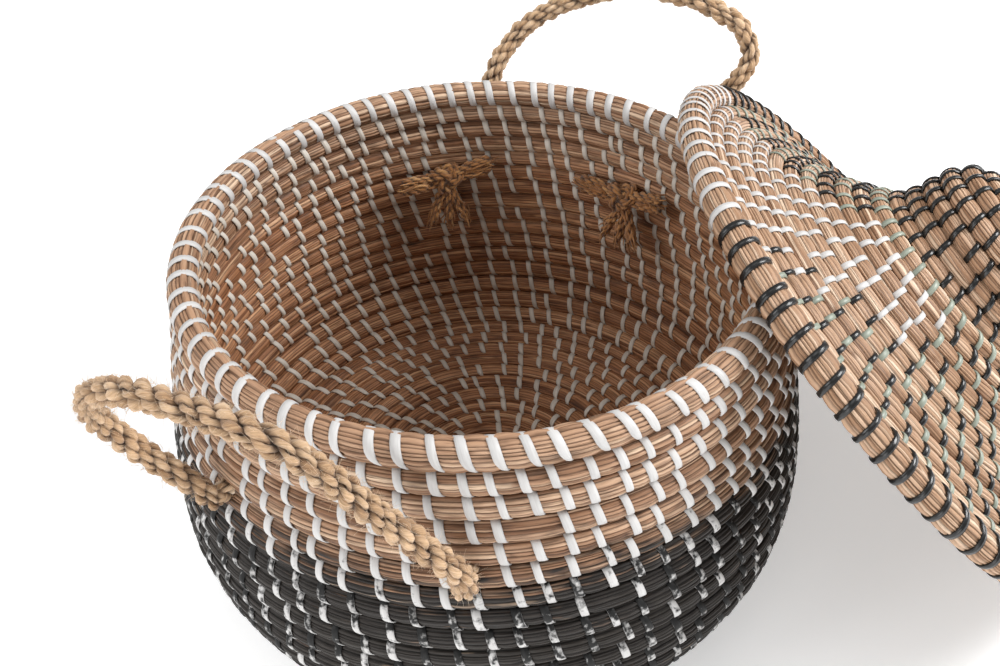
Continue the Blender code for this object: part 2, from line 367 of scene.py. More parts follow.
def base_coils():
    first = side_centres()[-1]
    pitch = first[0] / (BASE_ROUNDS + 0.4)
    coils = []
    for k in range(BASE_ROUNDS):
        centre = (first[0] - pitch * k, BASE_HEIGHT)
        angle = (HEEL_ANGLE - pi / 2) / 2 if k == 0 else -pi / 2
        coils.append(Coil(f"base_bundle_{k + 1:02d}", f"base_coil_{k + 1:02d}", "basket", centre, angle,
                          pitch * 0.52, BASE_COIL_HALF))
    coils.append(Coil("base_centre_bundle", "base_centre", "basket", (pitch * 0.46, BASE_HEIGHT), -pi / 2,
                      pitch * 0.5, BASE_COIL_HALF))
    return coils


def lid_coils():
    matrix = lid_matrix()
    angles = lid_angles()
    centres = chain((LID_R, 0.0), angles, LID_RIM_HALF + LID_PITCH / 2, LID_PITCH)
    coils = [Coil("lid_rim_bundle", "lid_rim_coil", "lid", centres[0], angles[0],
                  LID_RIM_HALF * 0.97, LID_RIM_HALF * 0.85, matrix)]
    for k in range(1, len(centres)):
        after = angles[k] if k < len(angles) else -pi / 2
        label = "" if k <= BRIM_ROUNDS else "knob_"
        number = k if k <= BRIM_ROUNDS else k - BRIM_ROUNDS
        coils.append(Coil(f"lid_{label}bundle_{number:02d}", f"lid_{label}coil_{number:02d}", "lid",
                          centres[k], (angles[k - 1] + after) / 2, LID_PITCH * 0.53, LID_COIL_HALF * 0.95,
                          matrix))
    radius, height = centres[-1]
    for step, label in ((1, "lid_button_bundle"), (1.72, "lid_button_core")):
        centre = (radius - LID_PITCH * step, height - 0.0012 * (step - 1))
        coils.append(Coil(label, "lid_knob_button", "lid", centre, -pi / 2,
                          LID_PITCH * 0.52, LID_COIL_HALF * 0.9, matrix))
    return coils


# Rope holes

def holes():
    """Each rope's hole: its handle and side, a point on its axis and the outward direction."""
    centres = side_centres()
    radius, height = (centres[HOLE_ROUND] + centres[HOLE_ROUND + 1]) / 2
    found = []
    for name, middle, half, _, _ in HANDLES:
        for side, azimuth in (("a", middle + half), ("b", middle - half)):
            outward = Vector((cos(azimuth), sin(azimuth), 0))
            found.append((name, side, outward * radius + Vector((0, 0, height)), outward))
    return found


def part_round_ropes(grid):
    """Pushes what lies in a rope's hole out to its edge, as the strands part round the rope."""
    moved = grid.reshape(-1, 3).copy()
    for _, _, place, outward in HOLES:
        axis = np.array(outward)
        away = moved - np.array(place)
        along = away @ axis
        aside = away - along[:, None] * axis
        distance = np.linalg.norm(aside, axis=1)
        inside = (distance < HOLE_CLEAR) & (np.abs(along) < HOLE_REACH)
        push = aside[inside] / np.maximum(distance[inside], 1e-5)[:, None] * HOLE_CLEAR
        moved[inside] = np.array(place) + along[inside][:, None] * axis + push
    return moved.reshape(grid.shape)


# Seagrass bundles

def dye_edge(turn):
    """The wall round where the black begins, by direction."""
    return 5.2 - 0.1 * np.cos(2 * (turn + pi / 2)) + 0.2 * np.sin(3 * turn + 1) + 0.2 * np.sin(7 * turn)


def dye_and_inner_shade(coil_number, section, turn, ragged):
    """How black the dip leaves a point, from 0 to 1, and on the inside minus its depth in the basket, which
    the material paints as shade.
    """
    if coil_number is None:
        return np.zeros_like(section + turn)
    position = coil_number + 0.5 * np.sin(section)
    amount = np.clip(0.5 + (position - dye_edge(turn) + ragged) / 3.2, 0, 1)
    # Painted shade: the inside darkens and reddens the deeper the round lies in the basket.
    depth = np.clip((coil_number - 1) / 4, 0, 1)
    return np.where(np.cos(section) > -0.2, amount * smoothstep((np.cos(section) + 0.3) / 0.4), -depth)


def strand_edges(turn, strands):
    """The section angle of each strand's edge, all the way round the coil."""
    share = 2 * pi / strands
    edges = []
    for b in range(strands):
        wander = wave(turn, 1, 9, 0.16 * share)
        edges.append(b * share + wander + 0.25 * share * rng.normal())
    return edges + [edges[0] + 2 * pi]


def strand_lengths(turn, reach, size):
    """The straws that make up one strand: their tone, height, broken ends and ragged dye at each angle."""
    pieces = max(1, int(round(2 * pi * reach / STRAND_LENGTH)))
    breaks = np.sort(rng.uniform(0, 2 * pi, pieces))
    which = np.searchsorted(breaks, turn) % pieces
    tone = np.clip(rng.normal(0.52, 0.27, pieces), 0, 1)[which]
    height = (rng.normal(0, 0.00024, pieces)[which] + wave(turn, 2, 20, 0.00014)) * size
    nearest = angle_apart(turn[:, None], breaks[None, :]).min(1) * reach
    ended = np.clip(1 - nearest / END_LENGTH, 0, 1)
    ragged = rng.normal(0, 0.45, pieces)[which]
    return tone, height, ended, ragged


def bundle(coil, dyed_round, strands=STRANDS):
    """One round of seagrass: long strands side by side, with painted shade darkening the gaps between them
    and the broken ends.
    """
    reach = coil.centre[0] + coil.thick
    rings = max(24, int(2 * pi * reach / BUNDLE_STEP))
    turn = np.arange(rings) * 2 * pi / rings
    size = (coil.stack + coil.thick) / USUAL_COIL
    edges = strand_edges(turn, strands)
    columns = []
    for left, right in zip(edges, edges[1:]):
        tone, height, ended, ragged = strand_lengths(turn, reach, size)
        for part, rise, groove_shade in STRAND_PROFILE:
            section = left + (right - left) * part
            lift = (rise + (0 if groove_shade else 1) * height) * size - ended * END_DROP
            # dye carries the dip and, as minus values, the painted shade of the inside.
            dye = dye_and_inner_shade(dyed_round, section, turn, ragged)
            # The grooves, and the broken ends at 0.7, carry painted shade.
            columns.append((section, lift, tone, np.maximum(groove_shade, ended * 0.7), dye))
    section, lift, tone, groove_shade, dye = (np.stack(column, axis=1) for column in zip(*columns))
    whole_turn = np.repeat(turn[:, None], section.shape[1], axis=1)
    lift = lift + (0.25 - pinched(coil, section, whole_turn)) * PINCH * size
    grid = coil.place(section, whole_turn, lift)
    if coil.body == "basket":
        grid = part_round_ropes(grid)
    u = np.arange(rings + 1) * 2 * pi / rings * reach + rng.uniform(0, 5)
    v = np.arange(section.shape[1] + 1) * 0.0007 * size + rng.uniform(0, 5)
    sheaf = Sheaf()
    sheaf.add(grid, u, v, np.stack([tone, groove_shade, dye], axis=-1), True)
    return sheaf.build(coil.name)


# Stitches

def strip_frame(coil, section, turn, lift):
    """The strips' centre lines, and the directions along, out from and beside each of them."""
    centre = coil.place(section, turn, lift)
    normal = unit(coil.place(section, turn, lift + 0.001) - centre)
    path = unit(np.gradient(centre, axis=1))
    return centre, path, normal, unit(np.cross(path, normal))


def strip_widths(t, own, width, taper):
    """Half of each strip's width along it, with a narrow start and, where it tapers, a narrow end."""
    narrow = np.where(t < 0.1, 0.82 + 1.8 * t, 1.0)
    if taper:
        narrow = narrow - 0.72 * smoothstep((t - 0.70) / 0.3)
    return width / 2 * narrow[None, :] * own


def ribbons(sheaf, coil, turns, span, lean, width, height, dyed_round=None, steps=11, taper=True):
    """Flat strips over a coil across the span, moving round it by lean metres on the way."""
    if not len(turns):
        return
    start, end = span
    coil.seams.append((start, end, lean, turns))
    t = np.linspace(0, 1, steps)
    section = start + (end - start) * t
    wobble = rng.normal(0, 0.25, len(turns))
    own = rng.uniform(0.88, 1.1, len(turns))[:, None]
    drift = seam_drift(lean, t)[None, :] * (1 + 0.25 * wobble[:, None])
    turn = turns[:, None] + drift / coil.turning_radius()
    hidden = np.maximum(0, 1 - t / 0.09) + np.maximum(0, (t - 0.93) / 0.07)
    lift = STITCH_LIFT - STITCH_TUCK * hidden
    centre, path, normal, beside = strip_frame(coil, section, turn, lift)
    ahead = coil.place(section, turn + 0.001, lift) - centre
    facing = np.sign(np.sum(beside * ahead, axis=-1)) * (1.0 if lean >= 0 else -1.0)
    half = strip_widths(t, own, width, taper)
    shift = (width / 2 * own - half) * facing * 0.8
    grid = np.stack([centre + beside * (x * half + shift)[..., None] + normal * (y * height)
                     for x, y in STRIP_OUTLINE], axis=2)
    u, v = run_length(centre[0]), np.array(STRIP_ACROSS) * width
    check = 5
    for n in range(len(turns)):
        values = np.zeros((steps, len(STRIP_OUTLINE), 3))
        values[:, :, 0] = t[:, None]
        values[:, :, 1] = rng.uniform()
        values[:, :, 2] = dye_and_inner_shade(dyed_round, section, turn[n], 0.25 * rng.normal())[:, None]
        strip = part_round_ropes(grid[n]) if coil.body == "basket" else grid[n]
        if np.cross(strip[check, 2] - strip[check, 0], path[n, check]) @ normal[n, check] > 0:
            strip = strip[:, ::-1]
        sheaf.add(strip, u + rng.uniform(0, 3), v, values, False)


def around(count, offset, jitter=0.10, missing=0.012):
    """The directions of a round's stitches, a little uneven and with a few of them missing."""
    turns = (np.arange(count) + offset + rng.normal(0, jitter, count)) * 2 * pi / count
    keep = rng.uniform(0, 1, count) >= missing
    return turns[keep]


def away_from_holes(turns, coil_number):
    """Leaves out the stitches where a rope goes through."""
    if coil_number not in (HOLE_ROUND, HOLE_ROUND + 1):
        return turns
    for _, _, _, outward in HOLES:
        turns = turns[angle_apart(turns, atan2(outward.y, outward.x)) > HOLE_MARGIN]
    return turns


def wall_stitches(coils):
    rim, outside, inside = Sheaf(), Sheaf(), Sheaf()
    ribbons(rim, coils[0], around(WALL_STITCHES, 0.0, 0.07, 0), RIM_SPAN, RIM_LEAN, RIM_STITCH_WIDTH,
            WALL_STITCH_HEIGHT, steps=22)
    drift_out, drift_in = 0.0, 0.0
    for k in range(1, WALL_ROUNDS + 1):
        drift_out += 0.10 + 0.05 * rng.normal()
        drift_in -= 0.10 + 0.05 * rng.normal()
        turns = away_from_holes(around(WALL_STITCHES, drift_out), k)
        ribbons(outside, coils[k], turns, OUTER_SPAN, OUTER_LEAN, OUTER_STITCH_WIDTH, WALL_STITCH_HEIGHT,
                dyed_round=k)
        turns = away_from_holes(around(WALL_STITCHES, drift_in - 0.1), k)
        ribbons(inside, coils[k], turns, INNER_SPAN, -INNER_LEAN, INNER_STITCH_WIDTH, WALL_STITCH_HEIGHT)
    return rim, outside, inside


def base_stitches(coils):
    top, under = Sheaf(), Sheaf()
    count = WALL_STITCHES
    drift = 0.0
    for k, coil in enumerate(coils):
        wanted = max(5, int(round(2 * pi * coil.centre[0] / STITCH_SPACING)))
        count = wanted if wanted < 0.93 * count or k < 1 else count
        drift -= 0.28
        lean = BASE_LEAN * min(1.0, coil.centre[0] / 0.03)
        ribbons(top, coil, around(count, drift), TOP_SPAN, -lean, INNER_STITCH_WIDTH, 0.0005)
        ribbons(under, coil, around(count, drift + 0.3), UNDER_SPAN, lean, INNER_STITCH_WIDTH, 0.0004,
                dyed_round=BASE_DYE)
    return top, under


# Where the white sector of the lid's rim and brim ends and starts, in degrees, round by round inwards
LID_WHITE_END = (-160, -158, -156, -154, -150, -146, -139, -132, -127, -121, -113)
LID_WHITE_START = (-222, -220, -217, -213, -208, -203, -198, -193, -187, -182, -177)


def lid_colour(k, turns):
    """The kind of each stitch of round k: black and sage rounds take turns outside the white sectors."""
    degrees = (np.degrees(turns) - 60) % 360 - 300
    sage = 0 < k <= BRIM_ROUNDS and k % 2
    colour = np.full(len(turns), SAGE_STITCH if sage else BLACK_STITCH)
    if k < len(LID_WHITE_END):
        edge = 4.0 * rng.normal(size=len(turns))
        colour[(degrees < LID_WHITE_END[k] + edge) & (degrees > LID_WHITE_START[k] + edge)] = WHITE_STITCH
    if k < BRIM_ROUNDS - 1:
        colour[np.abs(degrees + 6) < 26 - 2 * k] = WHITE_STITCH
    return colour


def lid_rim_stitches(groups, coil):
    """Turns right round the rim, with short white ones between the black."""
    turns = around(LID_RIM_STITCHES, 0.0, 0.08, 0)
    colours = lid_colour(0, turns)
    for which, sheaf in groups.items():
        width, height = LID_STITCH_SIZES[which]
        ribbons(sheaf, coil, turns[colours == which], LID_RIM_SPAN, LID_RIM_LEAN, width * 1.1, height,
                steps=22, taper=False)
    between = turns[colours == BLACK_STITCH] + pi / LID_RIM_STITCHES
    width, _ = LID_STITCH_SIZES[WHITE_STITCH]
    ribbons(groups[WHITE_STITCH], coil, between, BETWEEN_SPAN, BETWEEN_LEAN, width, 0.0005, steps=8)


def lid_stitches(coils):
    groups = {WHITE_STITCH: Sheaf(), BLACK_STITCH: Sheaf(), SAGE_STITCH: Sheaf()}
    lid_rim_stitches(groups, coils[0])
    count = LID_STITCHES
    drift = 0.0
    for k, coil in enumerate(coils[1:], 1):
        on_brim = k < BRIM_ROUNDS - 2
        wanted = max(5, int(round(2 * pi * coil.centre[0] / (BRIM_SPACING if on_brim else KNOB_SPACING))))
        count = wanted if wanted < 0.84 * count or k == BRIM_ROUNDS - 2 else count
        drift -= 0.10
        turns = around(count, drift, 0.07)
        colours = lid_colour(k, turns)
        lean = (BRIM_LEAN if on_brim else KNOB_LEAN) * min(1.0, coil.centre[0] / 0.03)
        for which, sheaf in groups.items():
            chosen = turns[colours == which]
            width, height = LID_STITCH_SIZES[which]
            ribbons(sheaf, coil, chosen, INNER_SPAN, lean, width, height, taper=False)
            ribbons(sheaf, coil, chosen + 0.3 * 2 * pi / count, OUTER_SPAN, -lean, width, height, steps=8,
                    taper=False)
    return groups


# Rope

def smooth_route(points, count):
    """Evenly spaced points on a Catmull-Rom curve through the given ones."""
    route = np.array(points, dtype=float)
    padded = np.vstack([2 * route[0] - route[1], route, 2 * route[-1] - route[-2]])
    fine = []
    for i in range(len(route) - 1):
        a, b, c, d = padded[i:i + 4]
        for t in np.linspace(0, 1, 40, endpoint=False):
            fine.append(0.5 * (2 * b + (c - a) * t + (2 * a - 5 * b + 4 * c - d) * t ** 2
                               + (3 * b - a - 3 * c + d) * t ** 3))
    fine = np.array(fine + [route[-1]])
    run = run_length(fine)
    wanted = np.linspace(0, run[-1], count)
    return np.stack([np.interp(wanted, run, fine[:, i]) for i in range(fine.shape[1])], axis=1)


def moving_frame(path):
    """Tangent and two normals that don't twist, at each point of a path."""
    tangent = unit(np.gradient(path, axis=0))
    first = np.cross(tangent[0], (0.3, 0.2, 0.93))
    normals = [first / np.linalg.norm(first)]
    for t in tangent[1:]:
        carried = normals[-1] - t * (normals[-1] @ t)
        normals.append(carried / np.linalg.norm(carried))
    normals = np.array(normals)
    return tangent, normals, np.cross(tangent, normals)


def tube(sheaf, path, radius, sides, tone, core=None, reach=1.0):
    """A tube along a path. radius is one number or one for each point, and painted shade darkens it towards
    the core.
    """
    _, normal, other = moving_frame(path)
    angle = np.arange(sides) * 2 * pi / sides
    radius = np.broadcast_to(radius, len(path))[:, None, None]
    ring = normal[:, None] * np.cos(angle)[None, :, None] + other[:, None] * np.sin(angle)[None, :, None]
    grid = path[:, None] + radius * ring
    run = run_length(path)
    values = np.zeros((len(path), sides, 3))
    values[:, :, 0] = tone
    if core is not None:
        # Painted shade: the rope darkens towards its core, deep in its grooves.
        depth = np.linalg.norm(grid - core[:, None], axis=-1) / reach
        values[:, :, 1] = np.clip((0.86 - depth) / 0.34, 0, 1)
    values[:, :, 2] = (run / max(run[-1], 1e-6))[:, None]
    v = np.arange(sides + 1) * float(np.mean(radius)) * 2 * pi / sides
    sheaf.add(grid, run + rng.uniform(0, 3), v + rng.uniform(0, 3), values, False, 0.75)


def lengthened(path, extra):
    """The path carried straight on by a length at both ends, with a point every 1.6 mm."""
    ends = path[[0, -1]] + unit(path[[0, -1]] - path[[1, -2]]) * extra
    path = np.vstack([ends[:1], path, ends[1:]])
    run = run_length(path)
    fine = np.linspace(0, run[-1], max(8, int(run[-1] / 0.0016)))
    return np.stack([np.interp(fine, run, path[:, i]) for i in range(3)], axis=1), fine


def twisted(sheaf, path, radius, lay=0.031, ply=0.0110, strands=3, yarns=3, sides=7):
    """A laid rope: strands of yarns, the yarns twisted one way and the strands the other, with round ends."""
    path, fine = lengthened(path, radius * 0.85)
    tangent, normal, other = moving_frame(path)
    strand_r = radius * 0.50
    past = np.maximum(0, radius * 0.85 - np.minimum(fine, fine[-1] - fine)) / (radius * 0.90)
    taper = np.sqrt(1 - past ** 2)[:, None]
    for s in range(strands):
        angle = fine * 2 * pi / lay + s * 2 * pi / strands + 0.2 * np.sin(fine * 60 + s)
        out = normal * np.cos(angle)[:, None] + other * np.sin(angle)[:, None]
        along = np.cross(tangent, out)
        centre = path + out * (radius - strand_r) * taper
        for y in range(yarns):
            turn = -fine * 2 * pi / ply + y * 2 * pi / yarns + s
            offset = out * np.cos(turn)[:, None] + along * np.sin(turn)[:, None]
            lumps = np.interp(fine, np.linspace(0, fine[-1], 90), rng.normal(size=90))
            plump = strand_r * 0.52 * np.clip(1 + 0.20 * lumps, 0.6, 1.4) * (0.3 + 0.7 * taper[:, 0])
            line = centre + offset * (strand_r * 0.55) * taper
            tube(sheaf, line, plump, sides, rng.normal(0.5, 0.15), path, radius)


def hairs(sheaf, path, radius, count, shortest, longest, thick):
    """Loose fibres that stand off a rope."""
    tangent, normal, other = moving_frame(path)
    for _ in range(count):
        i = rng.integers(1, len(path) - 1)
        angle = rng.uniform(0, 2 * pi)
        out = normal[i] * cos(angle) + other[i] * sin(angle)
        along = tangent[i] * rng.normal(0, 0.8) + np.cross(tangent[i], out) * rng.normal(0, 0.5)
        length = rng.uniform(shortest, longest)
        t = np.linspace(0, 1, 5)[:, None]
        bend = rng.normal(0, 0.35, 3)
        line = path[i] + out * radius * 0.9 + (out * 0.7 + along) * length * t + bend * length * t ** 2
        line[:, 2] = np.maximum(line[:, 2], 0.002)
        tube(sheaf, line, thick * np.linspace(1, 0.5, 5), 3, rng.uniform(0.4, 1.0))


def tuft(sheaf, start, reach, spread, count, thick):
    """A bunch of frayed yarns from one point."""
    length = np.linalg.norm(reach)
    t = np.linspace(0, 1, 9)[:, None]
    for _ in range(count):
        own = reach * rng.uniform(0.72, 1.05) + rng.normal(0, spread, 3) * length
        bend = rng.normal(0, 0.10, 3) * length
        wavy = np.sin(t * rng.uniform(5, 11) + rng.uniform(0, 6)) * rng.normal(0, 0.0007, 3)
        line = start + rng.normal(0, thick * 1.2, 3) + own * t + bend * t * (1 - t) + wavy
        own_r = thick * rng.uniform(0.6, 1.1) * np.linspace(1.0, 0.45, 9)
        tube(sheaf, line, own_r, 6, rng.normal(0.5, 0.15))


def rope_path(name, middle, lean, route):
    """The loop's centre line in the row frame."""
    ends = []
    for owner, _, place, outward in HOLES:
        if owner == name:
            ends.append(place + outward * (COIL_HALF + STUB_PROUD + GAP + ROPE_R))
    centre = (ends[0] + ends[1]) / 2
    stretch = (ends[0] - ends[1]).length / 2 / (route[0][0] * MOUTH_R)
    line = np.array((cos(middle + pi / 2), sin(middle + pi / 2), 0))
    outward = np.array((cos(middle), sin(middle), 0))
    flat = smooth_route(route, 160) * MOUTH_R
    away = outward * cos(lean) + UP * sin(lean)
    return np.array(centre) + flat[:, :1] * stretch * line + flat[:, 1:] * away


def make_rope(handle):
    name, middle, _, lean, route = handle
    path = rope_path(name, middle, lean, route)
    sheaf, loose = Sheaf(), Sheaf()
    twisted(sheaf, path, ROPE_R * 1.03)
    rope = sheaf.build(f"{name}_jute")
    hairs(loose, path, ROPE_R, FUZZ_COUNT, 0.0012, 0.0048, 0.00008)
    fuzz = loose.build(f"{name}_fuzz")
    finish_piece(rope, name, (f"{name}_rope",), JUTE)
    finish_piece(fuzz, name, (), FUZZ)


def knot_line(centre, sideways, inward):
    """A closed overhand turn, as a trefoil flattened against the wall."""
    t = np.linspace(0, 2 * pi, 90)
    x = (np.sin(t) + 2 * np.sin(2 * t)) * KNOT_SIZE
    z = (np.cos(t) - 2 * np.cos(2 * t)) * KNOT_SIZE
    depth = -np.sin(3 * t) * KNOT_DEPTH
    return centre + np.outer(x, sideways) + np.outer(z, UP) + np.outer(depth, inward)


def side_ends(sheaf, centre, sideways, inward):
    """The knot's two thick ends, to the left and to the right, each of two strands with a frayed tip."""
    tilt = rng.normal(0, 0.12)
    for direction, lift in ((1, 0.05 + tilt), (-1, 0.22 - tilt)):
        end = sideways * direction * SIDE_END + UP * SIDE_END * lift + inward * 0.004
        tuft(sheaf, centre + end * 0.40, end * 0.66, 0.085, 14, 0.00125)
        for part in (-1, 1):
            bow = UP * part * 0.0034
            path = smooth_route((centre, centre + end * 0.40 + bow, centre + end * 0.86 + bow * 1.2), 16)
            twisted(sheaf, path, 0.0037, lay=0.020, ply=0.008, sides=6)


def hanging_ends(sheaf, centre, sideways, inward):
    """The three strands that hang from the knot."""
    for spread in (-0.34, 0.02, 0.36):
        end = -UP * HANGING_END + sideways * HANGING_END * spread + inward * 0.003
        bow = sideways * rng.normal(0, 0.0025)
        path = smooth_route((centre - UP * 0.004, centre + end * 0.45 + bow, centre + end * 0.80), 16)
        twisted(sheaf, path, 0.0038, lay=0.022, ply=0.009, sides=6)
        tuft(sheaf, centre + end * 0.50, end * 0.52, 0.10, 12, 0.0010)


def make_knot(name, side, place, outward):
    """The knot inside the wall, and the rope's stub in the hole."""
    label = f"{name}_knot_{side}"
    place = np.array(place)
    sideways = np.array((-outward.y, outward.x, 0))
    inward = -np.array(outward)
    inner_end = place + inward * COIL_HALF
    outer_end = place - inward * (COIL_HALF + STUB_PROUD + GAP + ROPE_R * 0.2)
    centre = place + inward * (COIL_HALF + FACET_SAG + KNOT_R * 0.8)
    sheaf, stub = Sheaf(), Sheaf()
    twisted(sheaf, knot_line(centre, sideways, inward), KNOT_ROPE_R, lay=0.022, ply=0.009, sides=6)
    twisted(stub, np.linspace(inner_end, outer_end, 20), ROPE_R * 0.92)
    finish_piece(stub.build(f"{label}_stub"), "basket", (), JUTE)
    twisted(sheaf, np.linspace(centre, inner_end, 20), ROPE_R * 0.98)
    side_ends(sheaf, centre, sideways, inward)
    hanging_ends(sheaf, centre, sideways, inward)
    # The knot gets the shaded copy of the jute: painted shade.
    finish_piece(sheaf.build(f"{label}_jute"), "basket", (label,), JUTE_SHADED)


# Materials

class Graph:
    """A new material's nodes. Where a method takes a value, another node's output can stand in for it."""

    def __init__(self, name):
        self.made = bpy.data.materials.new(name)
        self.made.use_nodes = True
        self.nodes, self.links = self.made.node_tree.nodes, self.made.node_tree.links
        self.shader = self.nodes["Principled BSDF"]

    def add(self, kind, **settings):
        node = self.nodes.new(kind)
        for key, value in settings.items():
            setattr(node, key, value)
        return node

    def put(self, value, socket):
        if isinstance(value, bpy.types.NodeSocket):
            self.links.new(value, socket)
        else:
            socket.default_value = value

    def math(self, operation, a, b=0.0, c=0.0, clamp=False):
        node = self.add("ShaderNodeMath", operation=operation, use_clamp=clamp)
        for socket, value in zip(node.inputs, (a, b, c)):
            self.put(value, socket)
        return node.outputs[0]

    def times(self, a, b):
        return self.math("MULTIPLY", a, b)

    def scaled(self, a, gain, base, clamp=False):
        """a times gain plus base."""
        return self.math("MULTIPLY_ADD", a, gain, base, clamp)

    def mix(self, factor, a, b, blend="MIX"):
        node = self.add("ShaderNodeMix", data_type="RGBA", blend_type=blend)
        self.put(factor, node.inputs[0])
        self.put(a, node.inputs[6])
        self.put(b, node.inputs[7])
        return node.outputs[2]

    def ramp(self, factor, stops):
        node = self.add("ShaderNodeValToRGB")
        self.put(factor, node.inputs[0])
        elements = node.color_ramp.elements
        while len(elements) < len(stops):
            elements.new(0.5)
        for element, (position, colour) in zip(elements, stops):
            element.position = position
            element.color = (*colour, 1.0)
        return node.outputs[0]

    def strand(self):
        """The three numbers that the meshes carry at each point."""
        attribute = self.add("ShaderNodeAttribute", attribute_name="strand")
        split = self.add("ShaderNodeSeparateColor")
        self.links.new(attribute.outputs["Color"], split.inputs[0])
        return split.outputs

    def fibre(self):
        return self.add("ShaderNodeUVMap", uv_map="fibre").outputs[0]

    def noise(self, fibre, detail, along, beside, rough=0.55):
        """Noise with so many waves in a metre along the fibres and beside them."""
        mapping = self.add("ShaderNodeMapping")
        self.links.new(fibre, mapping.inputs["Vector"])
        mapping.inputs["Scale"].default_value = (along, beside, 1)
        node = self.add("ShaderNodeTexNoise")
        self.links.new(mapping.outputs[0], node.inputs["Vector"])
        node.inputs["Scale"].default_value = 1.0
        node.inputs["Detail"].default_value = detail
        node.inputs["Roughness"].default_value = rough
        return node.outputs[0]

    def bump(self, height, distance, strength):
        node = self.add("ShaderNodeBump")
        node.inputs["Strength"].default_value = strength
        node.inputs["Distance"].default_value = distance
        self.links.new(height, node.inputs["Height"])
        self.links.new(node.outputs[0], self.shader.inputs["Normal"])


def seagrass_material(name, stops, dyed):
    g = Graph(name)
    tone, groove_shade, side = g.strand()
    dye = g.math("MAXIMUM", side, 0.0)
    uv = g.fibre()
    streak = g.noise(uv, 4.0, 32, 950)
    blotch = g.noise(uv, 2.0, 45, 120)
    fine = g.noise(uv, 2.0, 85, 3600)
    fleck = g.noise(uv, 3.0, 38, 1900)
    shade = g.scaled(streak, 0.70, g.math("SUBTRACT", tone, 0.32))
    shade = g.scaled(blotch, 0.40, g.math("SUBTRACT", shade, 0.20))
    shade = g.scaled(fine, 0.30, g.math("SUBTRACT", shade, 0.15), clamp=True)
    colour = g.ramp(shade, stops)
    marks = g.scaled(fleck, 12.0, -7.1, clamp=True)
    colour = g.mix(g.times(marks, 0.72), colour, FLECK_BROWN)
    # Painted shade: the inside is tinted darker and redder with depth.
    inner_shade = g.math("MULTIPLY", side, -1.0, clamp=True)
    colour = g.mix(inner_shade, colour, INNER_SHADE_TINT, "MULTIPLY")
    # Painted shade in the grooves between strands and at the broken ends.
    crease_shade = g.math("POWER", groove_shade, 1.3)
    colour = g.mix(g.times(crease_shade, 0.80), colour, CREASE_SHADE_BROWN)
    if dyed:
        worn = g.scaled(streak, 2.2, g.times(blotch, 1.6))
        cover = g.scaled(dye, 1.45, g.times(worn, -1.0))
        cover = g.times(g.math("ADD", cover, 1.86, clamp=True), 0.98)
        shine = g.math("POWER", fine, 2.5)
        lit = g.times(shine, g.math("SUBTRACT", 1.0, groove_shade))
        colour = g.mix(cover, colour, g.mix(lit, DYE_BLACK, DYE_SHEEN))
    g.links.new(colour, g.shader.inputs["Base Color"])
    g.links.new(g.scaled(fine, 0.45, 0.25), g.shader.inputs["Roughness"])
    g.shader.inputs["Specular IOR Level"].default_value = 0.3
    g.bump(g.scaled(streak, 0.7, g.times(fine, 0.5)), 0.0009, 0.9)
    return g.made


def strip_material(name, light, dark, rough, dyed=False):
    g = Graph(name)
    along, own, dye = g.strand()
    uv = g.fibre()
    lines = g.noise(uv, 2.0, 90, 2400)
    patch = g.noise(uv, 3.0, 260, 420)
    mixed = g.scaled(own, 0.35, g.times(lines, 0.9), clamp=True)
    colour = g.mix(mixed, (*dark, 1), (*light, 1))
    if dyed:
        bare = g.scaled(along, 0.75, g.times(own, 0.45))
        bare = g.scaled(patch, 1.7, bare)
        cover = g.scaled(dye, 1.05, g.times(bare, -1.0))
        cover = g.scaled(cover, DYE_EDGE, DYE_EDGE * 0.40 + 0.5, clamp=True)
        colour = g.mix(g.times(cover, 0.99), colour, STRIP_BLACK)
    g.links.new(colour, g.shader.inputs["Base Color"])
    g.shader.inputs["Roughness"].default_value = rough
    g.shader.inputs["Specular IOR Level"].default_value = 0.25 if dyed else 0.5
    g.bump(lines, 0.0003, 0.6)
    return g.made


def jute_material(name, stops):
    g = Graph(name)
    tone, groove_shade, _ = g.strand()
    uv = g.fibre()
    fibre = g.noise(uv, 4.0, 130, 1300, 0.65)
    soft = g.noise(uv, 2.0, 90, 200)
    shade = g.scaled(fibre, 1.20, g.math("SUBTRACT", tone, 0.60))
    shade = g.scaled(soft, 0.40, g.math("SUBTRACT", shade, 0.20), clamp=True)
    # Painted shade in the rope's grooves, towards its core.
    colour = g.mix(g.times(groove_shade, 0.85), g.ramp(shade, stops), JUTE_GROOVE_SHADE)
    g.links.new(colour, g.shader.inputs["Base Color"])
    g.shader.inputs["Roughness"].default_value = 0.85
    g.shader.inputs["Sheen Weight"].default_value = 0.25
    g.shader.inputs["Sheen Roughness"].default_value = 0.5
    g.bump(fibre, 0.0012, 1.0)
    return g.made


def floor_material():
    g = Graph("floor_white")
    g.shader.inputs["Base Color"].default_value = (0.94, 0.94, 0.94, 1)
    g.shader.inputs["Roughness"].default_value = 0.9
    g.shader.inputs["Emission Color"].default_value = (1.0, 1.0, 1.0, 1)
    g.shader.inputs["Emission Strength"].default_value = 0.36
    g.shader.inputs["Specular IOR Level"].default_value = 0.1
    return g.made


FLECK_BROWN = (0.090, 0.038, 0.016, 1)
# Painted shade for the grooves between strands.
CREASE_SHADE_BROWN = (0.060, 0.024, 0.011, 1)
# Painted shade: the tint for the shaded inside of the basket.
INNER_SHADE_TINT = (0.98, 0.77, 0.60, 1)
DYE_BLACK = (0.003, 0.003, 0.003, 1)
DYE_SHEEN = (0.085, 0.076, 0.068, 1)
DYE_EDGE = 3.4
STRIP_BLACK = (0.008, 0.008, 0.008, 1)
